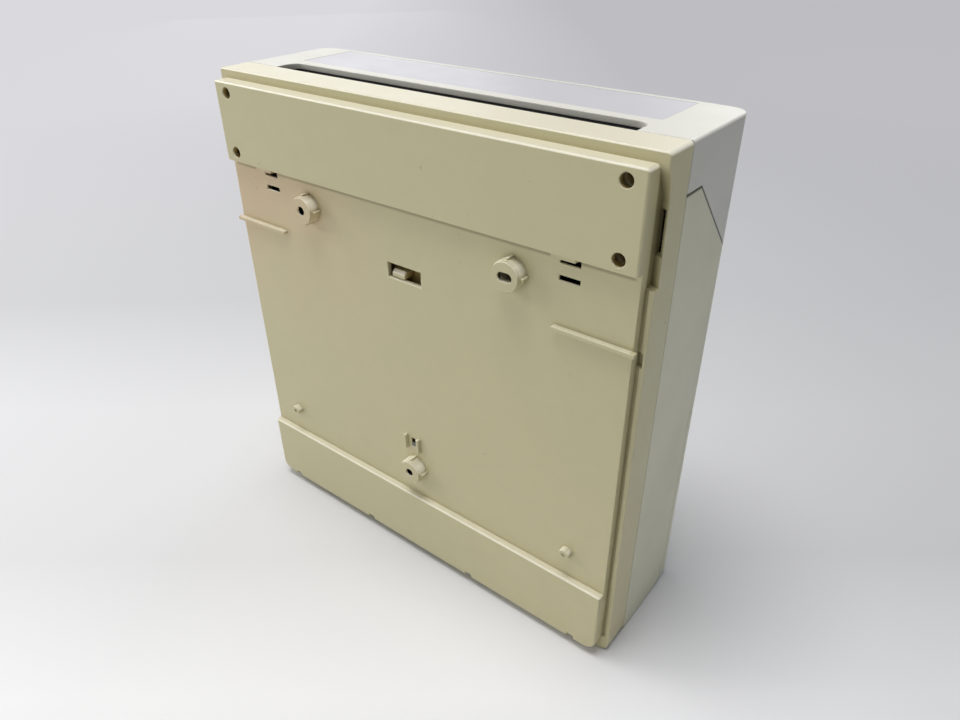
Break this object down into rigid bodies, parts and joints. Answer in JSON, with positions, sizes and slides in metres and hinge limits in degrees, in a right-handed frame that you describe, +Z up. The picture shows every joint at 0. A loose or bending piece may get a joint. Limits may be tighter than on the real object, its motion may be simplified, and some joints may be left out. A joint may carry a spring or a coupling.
{
  "type": "programmable heating timer",
  "caption": "Wall-mounted programmable heating timer: ribbed rear shell with screw bosses, sloped hood, card slot, drop-down front door, display and keys.",
  "frame": {"origin": "bottom centre of the bounding box, under the middle of the case's depth", "axes": "+Z up, -Y the front with the display and door, +Y towards the wall, +X to the right seen from the front"},
  "size_m": [0.218, 0.0728, 0.228],
  "materials": {
    "cream_shell": "yellowed satin moulding, fine spark texture",
    "grey_housing": "satin moulding",
    "white_hood": "satin moulding",
    "label": "smooth printed film",
    "dark_plastic": "satin black moulding",
    "key_grey": "satin moulding",
    "clear_window": "clear polished window",
    "display_glass": "grey-green liquid crystal glass",
    "light_diffuser": "milky diffuser",
    "white_plastic": "natural nylon",
    "elastomer": "banded conductive elastomer",
    "black_rubber": "soft rubber",
    "steel": "zinc plated",
    "board_green": "green solder mask on glass fibre board",
    "lamination": "varnished transformer laminations",
    "copper": "enamelled copper wire under tape",
    "relay_blue": "blue relay case",
    "capacitor_sleeve": "shrink sleeve",
    "film_yellow": "yellow film capacitor case",
    "ceramic_blue": "lacquered disc",
    "glass_tube": "glass fuse tube with end caps",
    "cable_grey": "grey ribbon insulation",
    "terminal_grey": "terminal block polyamide",
    "terminal_green": "terminal block polyamide",
    "led_body": "clear indicator body"
  },
  "bodies": {
    "case": {"back_shell": "cream_shell", "front_housing": "grey_housing", "top_hood": "white_hood", "top_label": "label", "card_pocket": "dark_plastic", "case_screws": "steel", "door_hinge_pins": "steel", "control_panel": "dark_plastic", "panel_screws": "steel", "display_lens": "clear_window", "display_frame": "white_plastic", "display_glass": "display_glass", "display_backlight": "light_diffuser", "contact_strips": "elastomer", "key_switches": "dark_plastic", "slider_switches": "steel", "light_pipes": "clear_window", "indicator_leds": "led_body", "display_board": "board_green", "display_board_screws": "steel", "microcontroller": "dark_plastic", "backup_battery": "steel", "battery_holder": "dark_plastic", "board_tray": "cream_shell", "main_board": "board_green", "main_board_screws": "steel", "transformer_core": "lamination", "transformer_coil": "copper", "relays": "relay_blue", "fuse_clips": "steel", "fuse": "glass_tube", "smoothing_capacitor": "capacitor_sleeve", "filter_capacitor": "film_yellow", "varistor": "ceramic_blue", "ribbon_headers": "dark_plastic", "ribbon_cable": "cable_grey", "supply_terminals": "terminal_grey", "load_terminals": "terminal_grey", "sensor_terminals": "terminal_green", "terminal_screws": "steel", "cable_clamps": "terminal_grey", "clamp_screws": "steel", "cable_grommets": "black_rubber"},
    "door": {"front_door": "grey_housing"},
    "heating_switch": {"heating_slider": "white_hood"},
    "water_switch": {"water_slider": "white_hood"},
    "key_1_cap": {"key_1": "key_grey"},
    "key_2_cap": {"key_2": "key_grey"},
    "key_3_cap": {"key_3": "key_grey"},
    "key_4_cap": {"key_4": "key_grey"},
    "key_5_cap": {"key_5": "key_grey"},
    "key_6_cap": {"key_6": "key_grey"}
  },
  "joints": [
    {"name": "door_hinge", "type": "hinge", "parent": "case", "child": "door", "pos_m": [0, -0.03, 0.0105], "axis": [1, 0, 0], "range_deg": [0, 90]},
    {"name": "key_1_press", "type": "slide", "parent": "case", "child": "key_1_cap", "axis": [0, 1, 0], "range_m": [0, 0.0008], "stiffness_N_per_m": 1200},
    {"name": "key_2_press", "type": "slide", "parent": "case", "child": "key_2_cap", "axis": [0, 1, 0], "range_m": [0, 0.0008], "stiffness_N_per_m": 1200},
    {"name": "key_3_press", "type": "slide", "parent": "case", "child": "key_3_cap", "axis": [0, 1, 0], "range_m": [0, 0.0008], "stiffness_N_per_m": 1200},
    {"name": "key_4_press", "type": "slide", "parent": "case", "child": "key_4_cap", "axis": [0, 1, 0], "range_m": [0, 0.0008], "stiffness_N_per_m": 1200},
    {"name": "key_5_press", "type": "slide", "parent": "case", "child": "key_5_cap", "axis": [0, 1, 0], "range_m": [0, 0.0008], "stiffness_N_per_m": 1200},
    {"name": "key_6_press", "type": "slide", "parent": "case", "child": "key_6_cap", "axis": [0, 1, 0], "range_m": [0, 0.0008], "stiffness_N_per_m": 1200},
    {"name": "heating_slide", "type": "slide", "parent": "case", "child": "heating_switch", "axis": [0, 0, 1], "range_m": [-0.004, 0.004]},
    {"name": "water_slide", "type": "slide", "parent": "case", "child": "water_switch", "axis": [0, 0, 1], "range_m": [-0.004, 0.004]}
  ]
}
